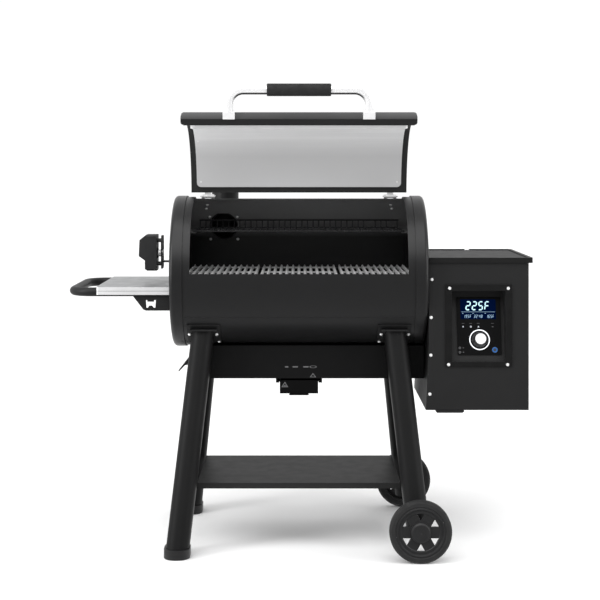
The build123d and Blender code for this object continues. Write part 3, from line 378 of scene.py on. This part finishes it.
# ---- pieces ----
def build(name, mesh, finish, body, replaces=(), smooth=None):
    """Make a piece from a bmesh, in the row frame, riding on a CAD body."""
    data = bpy.data.meshes.new(name)
    bmesh.ops.recalc_face_normals(mesh, faces=mesh.faces)
    mesh.to_mesh(data)
    mesh.free()
    piece = bpy.data.objects.new(name, data)
    scene.collection.objects.link(piece)
    data.materials.append(finish.material if isinstance(finish, Finish) else finish)
    if smooth is not None:
        for polygon in data.polygons:
            polygon.use_smooth = True
        data.set_sharp_from_angle(angle=math.radians(smooth))
    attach(piece, body)
    if replaces:
        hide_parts(*replaces)
    return piece


def prism(mesh, outline, low, high):
    """A closed solid between two copies of an outline; low and high place its 2-D points."""
    bottom = [mesh.verts.new(low(*point)) for point in outline]
    top = [mesh.verts.new(high(*point)) for point in outline]
    mesh.faces.new(bottom)
    mesh.faces.new(reversed(top))
    count = len(outline)
    for i in range(count):
        mesh.faces.new((bottom[i], top[i], top[(i + 1) % count], bottom[(i + 1) % count]))


def turned(mesh, profile, place, steps):
    """A solid turned from (radius, height) points; place takes a local point to the frame."""
    rings = []
    for radius, height in profile:
        if radius < 1e-6:
            rings.append([mesh.verts.new(place(0, 0, height))])
            continue
        angles = [2 * math.pi * i / steps for i in range(steps)]
        circle = [(radius * math.cos(a), radius * math.sin(a)) for a in angles]
        rings.append([mesh.verts.new(place(x, y, height)) for x, y in circle])
    for one, two in zip(rings, rings[1:]):
        for i in range(steps):
            j = (i + 1) % steps
            corners = [one[i % len(one)], one[j % len(one)], two[j % len(two)], two[i % len(two)]]
            mesh.faces.new([v for k, v in enumerate(corners) if v not in corners[:k]])


# cooking grates: ribbed bars with a pointed back, cast in one with three cross ribs
grates = bmesh.new()
bar_side = [(0.0030, 0.817), (0.0046, 0.8188), (0.0047, 0.8215), (0.0018, 0.8280), (0.0008, 0.8289)]
bar_section = [(-x, z) for x, z in bar_side] + bar_side[::-1]
rib_section = [(0.0, 0.8174), (0.0, 0.8206), (0.0012, 0.8218), (0.0108, 0.8218),
               (0.012, 0.8206), (0.012, 0.8174)]
for first, last in ((-18, -7), (-6, 6), (7, 18)):
    for index in range(first, last + 1):
        bar_x = BAR_PITCH * index
        prism(grates, bar_section, lambda x, z: (bar_x + x, -GRATE_HALF, z),
              lambda x, z: (bar_x + x, GRATE_HALF, z))
    for rib_y in (-GRATE_HALF, -0.006, GRATE_HALF - 0.012):
        prism(grates, rib_section, lambda y, z: (BAR_PITCH * first, rib_y + y, z),
              lambda y, z: (BAR_PITCH * last, rib_y + y, z))
build("grate_castings", grates, iron, "frame", ("cooking_grates",), smooth=40)

# painted shade: a dark strip standing for the groove along the side shelf's front lip
painted_groove_shade = moulding("groove", (0.05, 0.05, 0.051), 0.6, 900)
groove = bmesh.new()
prism(groove, [(-0.6115, 0.7768), (-0.3912, 0.7768), (-0.3912, 0.7778), (-0.6115, 0.7778)],
      lambda x, z: (x, -0.19003, z), lambda x, z: (x, -0.1899, z))
build("shelf_groove_shade", groove, painted_groove_shade, "frame")

# four rivet heads near the liner's corners; the lid's arc is centred on LID_ARC
LID_ARC = Vector((0, -0.1680, 1.0491))
rivets = bmesh.new()
for side in (-1, 1):
    for reach, angle in ((0.3155, 54), (0.3120, 14)):
        outward = Vector((0, math.cos(math.radians(angle)), math.sin(math.radians(angle))))
        along = Vector((0, -outward.z, outward.y))
        base = LID_ARC + outward * 0.2231 + Vector((side * reach, 0, 0))
        turned(rivets, [(0, 0.0), (0.0022, 0.0), (0.0020, 0.0006), (0.0011, 0.0011), (0, 0.0012)],
               lambda x, y, h: base + Vector((x, 0, 0)) + along * y - outward * h, 16)
build("liner_rivets", rivets, finishes["zinc_steel"], "lid", smooth=50)

# ---- control panel ----
TILT = math.radians(13.8)
PANEL = Vector((0.5445, -0.171, 0.670))
UP = Vector((0, math.sin(TILT), math.cos(TILT)))
OUT = Vector((0, -math.cos(TILT), math.sin(TILT)))


def on_glass(u, v, w):
    """A point on the control glass: u to the right, v up it and w out of it, in metres."""
    return PANEL + Vector((u, 0, 0)) + UP * v + OUT * w


def light_up(name, colour, strength):
    """A lit print on the display, a little uneven."""
    print_ = Finish(name, [c * 0.3 for c in colour], 0.4)
    print_.tint(print_.span(print_.noise(400, 2.0), 0.0, 0.4), [c * 0.2 for c in colour])
    print_.set("Emission Color", (*colour, 1)).set("Emission Strength", strength)
    return print_


screen_finish = Finish("screen_blue", (0.0001, 0.0008, 0.003), 0.6, specular=0.0)
cloud = screen_finish.span(screen_finish.noise(25, 2.0), 0.0, 0.5)
screen_finish.tint(cloud, (0.001, 0.002, 0.012))
screen_finish.set("Emission Color", (0.0001, 0.0038, 0.024, 1)).set("Emission Strength", 1.0)
digit_finish = light_up("digit_white", (0.62, 0.93, 1.0), 1.0)
small_finish = light_up("digit_small", (0.35, 0.55, 0.75), 0.75)
mark_finish = light_up("mark_grey", (0.72, 0.75, 0.80), 0.7)
print_finish = light_up("print_grey", (0.30, 0.30, 0.31), 0.0)
blue_finish = light_up("power_blue", (0.006, 0.10, 0.34), 1.0)


def plate(mesh, outline, low, high):
    """A thin flat plate on the control glass between two heights above it."""
    prism(mesh, outline, lambda u, v: on_glass(u, v, low), lambda u, v: on_glass(u, v, high))


screen = bmesh.new()
plate(screen, [(-0.0549, 0.021), (0.0521, 0.021), (0.0521, 0.081), (-0.0549, 0.081)],
      0.00002, 0.0003)
build("display_screen", screen, screen_finish, "frame")

SEGMENTS = {"1": "bc", "2": "abged", "3": "abgcd", "4": "fgbc", "5": "afgcd", "6": "afgedc",
            "8": "abcdefg", "9": "abfgcd", "F": "afge"}


def numeral(mesh, character, left, foot, wide, high, thick):
    """One seven-segment character, leaning a little to the right."""
    half = thick / 2
    gap = thick * 0.12
    rows = {"a": high - half, "g": high / 2, "d": half}
    columns = {"f": (half, high / 2), "b": (wide - half, high / 2), "e": (half, 0),
               "c": (wide - half, 0)}
    for segment in SEGMENTS[character]:
        if segment in rows:
            y = rows[segment]
            x0, x1 = half + gap, wide - half - gap
            outline = [(x0, y), (x0 + half, y + half), (x1 - half, y + half), (x1, y),
                       (x1 - half, y - half), (x0 + half, y - half)]
        else:
            x, base = columns[segment]
            y0 = base + (half if base == 0 else 0) + gap
            y1 = base + high / 2 - (0 if base == 0 else half) - gap
            outline = [(x, y0), (x + half, y0 + half), (x + half, y1 - half), (x, y1),
                       (x - half, y1 - half), (x - half, y0 + half)]
        leaning = [(left + px + 0.12 * py, foot + py) for px, py in outline]
        plate(mesh, leaning, 0.0003, 0.0006)


digits = bmesh.new()
for place, character in enumerate("225F"):
    numeral(digits, character, -0.0405 + 0.0190 * place, 0.0475, 0.0150, 0.0280, 0.0038)
build("display_digits", digits, digit_finish, "frame")

small = bmesh.new()
for start, text in ((-0.0470, "195F"), (-0.0155, "3248"), (0.0220, "165F")):
    for place, character in enumerate(text):
        gap = 0.0022 if start == -0.0155 and place > 1 else 0.0
        numeral(small, character, start + 0.0064 * place + gap, 0.0245, 0.0048, 0.0100, 0.0014)
plate(small, [(-0.0525, 0.0425), (0.0497, 0.0425), (0.0497, 0.0434), (-0.0525, 0.0434)],
      0.0003, 0.0005)
for mark_u in (-0.0500, -0.0190, 0.0180):
    mark = [(mark_u, 0.0375), (mark_u + 0.004, 0.0375), (mark_u + 0.002, 0.0405)]
    plate(small, mark, 0.0003, 0.0005)
build("display_small_digits", small, small_finish, "frame")


def disc(mesh, u, v, radius, low, high, hole=0.0, steps=24):
    """A disc or ring standing on the control glass."""
    ring = [(radius * math.cos(2 * math.pi * i / steps), radius * math.sin(2 * math.pi * i / steps))
            for i in range(steps)]
    if not hole:
        plate(mesh, [(u + x, v + y) for x, y in ring], low, high)
        return
    inner = [(x * hole / radius, y * hole / radius) for x, y in ring]
    layers = [[mesh.verts.new(on_glass(u + x, v + y, w)) for x, y in circle]
              for circle, w in ((ring, low), (ring, high), (inner, high), (inner, low))]
    for one, two in zip(layers, layers[1:] + layers[:1]):
        for i in range(steps):
            j = (i + 1) % steps
            mesh.faces.new((one[i], one[j], two[j], two[i]))


# key tops carry small signs; a fourth sign is printed on the glass
KEYS = ((-0.0483, "dot"), (-0.025, "ring"), (-0.002, "arrow"))
for number, (key_u, sign) in enumerate(KEYS, start=1):
    key_sign = bmesh.new()
    if sign == "dot":
        disc(key_sign, key_u, KEY_V, 0.0019, 0.001, 0.0012)
    elif sign == "ring":
        disc(key_sign, key_u, KEY_V, 0.0026, 0.001, 0.0012, hole=0.0012)
    else:
        arrow = [(key_u - 0.0026, -0.004), (key_u + 0.0026, -0.004), (key_u, 0.0008)]
        plate(key_sign, arrow, 0.001, 0.0012)
    build(f"key_sign_{number}", key_sign, mark_finish, f"key_{number}")


def printed(mesh, left, right, foot, top):
    """A rectangle printed on the control glass."""
    corners = [(left, foot), (right, foot), (right, top), (left, top)]
    plate(mesh, corners, 0.00002, 0.0002)


prints = bmesh.new()
printed(prints, 0.0385, 0.0435, -0.0032, -0.0014)
for label_u in (*(key_u for key_u, sign in KEYS), 0.041):
    printed(prints, label_u - 0.004, label_u + 0.004, 0.0075, 0.0085)
for jack_v in (-0.0658, -0.079):
    disc(prints, -0.0600, jack_v, 0.0036, 0.00002, 0.0008, hole=0.0018)
    printed(prints, -0.0510, -0.0475, jack_v - 0.0010, jack_v + 0.0012)
build("panel_prints", prints, print_finish, "frame")

knob_ring = bmesh.new()
disc(knob_ring, 0, KNOB_V, 0.0308, 0.0002, 0.0048, hole=0.0278, steps=72)
build("knob_glow", knob_ring, ring_white, "frame", ("knob_ring",), smooth=30)

power_ring = bmesh.new()
disc(power_ring, 0.0453, -0.072, 0.0079, 0.0014, 0.0019, hole=0.0050, steps=32)
build("power_ring", power_ring, blue_finish, "power_key")

# the knob: a fluted skirt with a satin metal face
KNOB = on_glass(0, KNOB_V, 0)
RIGHT = Vector((1, 0, 0))


def on_knob(x, y, height):
    return KNOB + RIGHT * x + UP * y + OUT * height


skirt = bmesh.new()
SKIRT_STEPS = 192  # four to each of 48 flutes
KNOB_PROFILE = ((0.0235, 0.0007), (0.0240, 0.0016), (0.0238, 0.0060), (0.0205, 0.0270),
                (0.0192, 0.0310))
rows = []
for radius, height in KNOB_PROFILE:
    ring = []
    for i in range(SKIRT_STEPS):
        angle = 2 * math.pi * i / SKIRT_STEPS
        dent = 0.0006 if i % 4 in (0, 1) and 0.002 < height < 0.030 else 0.0
        reach = radius - dent
        spot = on_knob(reach * math.cos(angle), reach * math.sin(angle), height)
        ring.append(skirt.verts.new(spot))
    rows.append(ring)
for one, two in zip(rows, rows[1:]):
    for i in range(SKIRT_STEPS):
        j = (i + 1) % SKIRT_STEPS
        skirt.faces.new((one[i], one[j], two[j], two[i]))
skirt.faces.new(rows[0])
skirt.faces.new(rows[-1])
build("knob_skirt", skirt, finishes["moulded_plastic"], "knob",
      ("control_knob",), smooth=25)

satin = Finish("knob_face", (0.86, 0.86, 0.87), 0.38, metallic=0.35)
# painted light: the satin metal face glows faintly
satin.set("Emission Color", (1, 1, 1, 1)).set("Emission Strength", 0.05)
satin.relief(satin.noise(900, 2.0), 0.00003, 0.5)
satin.tint(satin.span(satin.noise(300, 2.0), 0.0, 0.3), (0.76, 0.76, 0.78))
satin.polish(satin.noise(60, 3.0), 0.32, 0.46)
face = bmesh.new()
FACE_PROFILE = ((0, 0.0306), (0.0162, 0.0306), (0.0162, 0.0313), (0.0156, 0.0319), (0, 0.0319))
turned(face, FACE_PROFILE, on_knob, 64)
build("knob_face", face, satin, "knob", smooth=30)
pointer = bmesh.new()
prism(pointer, [(-0.0008, 0.0100), (0.0008, 0.0100), (0.0008, 0.0165), (-0.0008, 0.0165)],
      lambda x, y: on_knob(x, y, 0.0318), lambda x, y: on_knob(x, y, 0.03199))
build("knob_pointer", pointer, mark_finish, "knob")

# ---- signs on the housing and the ash cup ----
sign_finish = light_up("sign_grey", (0.42, 0.42, 0.43), 0.0)
housing_signs = bmesh.new()


def flat_sign(mesh, outline, y):
    """A print standing 0.2 mm proud of a face that looks to the front."""
    prism(mesh, outline, lambda x, z: (x, y - 0.0002, z), lambda x, z: (x, y, z))


def open_sign(mesh, outline, centre, y, share):
    """The outline's border only, drawn as one ring of plates."""
    cx, cz = centre
    inner = [(cx + (x - cx) * share, cz + (z - cz) * share) for x, z in outline]
    count = len(outline)
    for i in range(count):
        j = (i + 1) % count
        flat_sign(mesh, [outline[i], outline[j], inner[j], inner[i]], y)


for left, right in ((-0.019, -0.004), (0.014, 0.029)):
    flat_sign(housing_signs, [(left, 0.5335), (right, 0.5335), (right + 0.001, 0.5375),
                              (left - 0.001, 0.5375)], HOUSING_FRONT)
flat_sign(housing_signs, [(-0.0435, 0.5335), (-0.0325, 0.5335), (-0.0335, 0.5355),
                          (-0.0325, 0.5375), (-0.0435, 0.5375), (-0.0425, 0.5355)], HOUSING_FRONT)
turns = [math.pi * i / 10 for i in range(20)]
oval = [(0.0435 + 0.0110 * math.cos(a), 0.5355 + 0.0038 * math.sin(a)) for a in turns]
open_sign(housing_signs, oval, (0.0435, 0.5355), HOUSING_FRONT, 0.72)
triangle = [(0.0330, 0.5035), (0.0530, 0.5035), (0.0430, 0.5165)]
open_sign(housing_signs, triangle, (0.0430, 0.5075), HOUSING_FRONT, 0.6)
build("housing_signs", housing_signs, sign_finish, "frame")
cup_signs = bmesh.new()
triangle = [(-0.0540, 0.4735), (-0.0330, 0.4735), (-0.0435, 0.4905)]
open_sign(cup_signs, triangle, (-0.0435, 0.4790), CUP_FRONT, 0.62)
flat_sign(cup_signs, [(-0.0470, 0.4765), (-0.0400, 0.4765), (-0.0400, 0.4790),
                      (-0.0470, 0.4790)], CUP_FRONT)
build("ash_cup_signs", cup_signs, sign_finish, "ash_tray")

# ---- stage and light ----
floor_mesh = bmesh.new()
bmesh.ops.create_grid(floor_mesh, x_segments=8, y_segments=8, size=40)
floor_data = bpy.data.meshes.new("floor")
floor_mesh.to_mesh(floor_data)
floor_mesh.free()
floor = bpy.data.objects.new("floor", floor_data)
scene.collection.objects.link(floor)
floor_finish = Finish("floor_white", (0.94, 0.94, 0.94), 0.7, specular=0.2)
floor_finish.polish(floor_finish.noise(3, 2.0), 0.68, 0.75)
floor_data.materials.append(floor_finish.material)
floor.visible_glossy = False

world = bpy.data.worlds.new("studio")
scene.world = world
world.use_nodes = True
sky = world.node_tree
sky.nodes.clear()
sky_out = sky.nodes.new("ShaderNodeOutputWorld")
sky_light = sky.nodes.new("ShaderNodeBackground")
direction = sky.nodes.new("ShaderNodeTexCoord")
parts = sky.nodes.new("ShaderNodeSeparateXYZ")
sky_light.inputs["Color"].default_value = (1, 1, 1, 1)
depth = sky.nodes.new("ShaderNodeMapRange")
LEVELS = {"From Min": -1.0, "From Max": 0.3, "To Min": 0.28, "To Max": 1.02}
for socket, value in LEVELS.items():
    depth.inputs[socket].default_value = value
sky.links.new(direction.outputs["Generated"], parts.inputs[0])
sky.links.new(parts.outputs["Y"], depth.inputs["Value"])
sky.links.new(depth.outputs[0], sky_light.inputs["Strength"])
sky.links.new(sky_light.outputs[0], sky_out.inputs[0])


def softbox(name, place, target, size, power):
    """A rectangular studio light aimed at a point."""
    lamp = bpy.data.lights.new(name, "AREA")
    lamp.shape = "RECTANGLE"
    lamp.size, lamp.size_y = size
    lamp.energy = power
    item = bpy.data.objects.new(name, lamp)
    item.location = place
    item.rotation_euler = (Vector(target) - Vector(place)).to_track_quat("-Z", "Y").to_euler()
    scene.collection.objects.link(item)


key = bpy.data.lights.new("key", "SUN")
key.energy = 1.9
key.angle = math.radians(60)
key_item = bpy.data.objects.new("key", key)
key_item.rotation_euler = (math.radians(34), math.radians(-8), 0)
scene.collection.objects.link(key_item)
softbox("left_strip", (-2.6, -1.6, 1.5), (0, 0, 0.8), (0.8, 2.2), 45)
softbox("right_strip", (2.8, -1.5, 1.5), (0, 0, 0.8), (0.8, 2.2), 30)
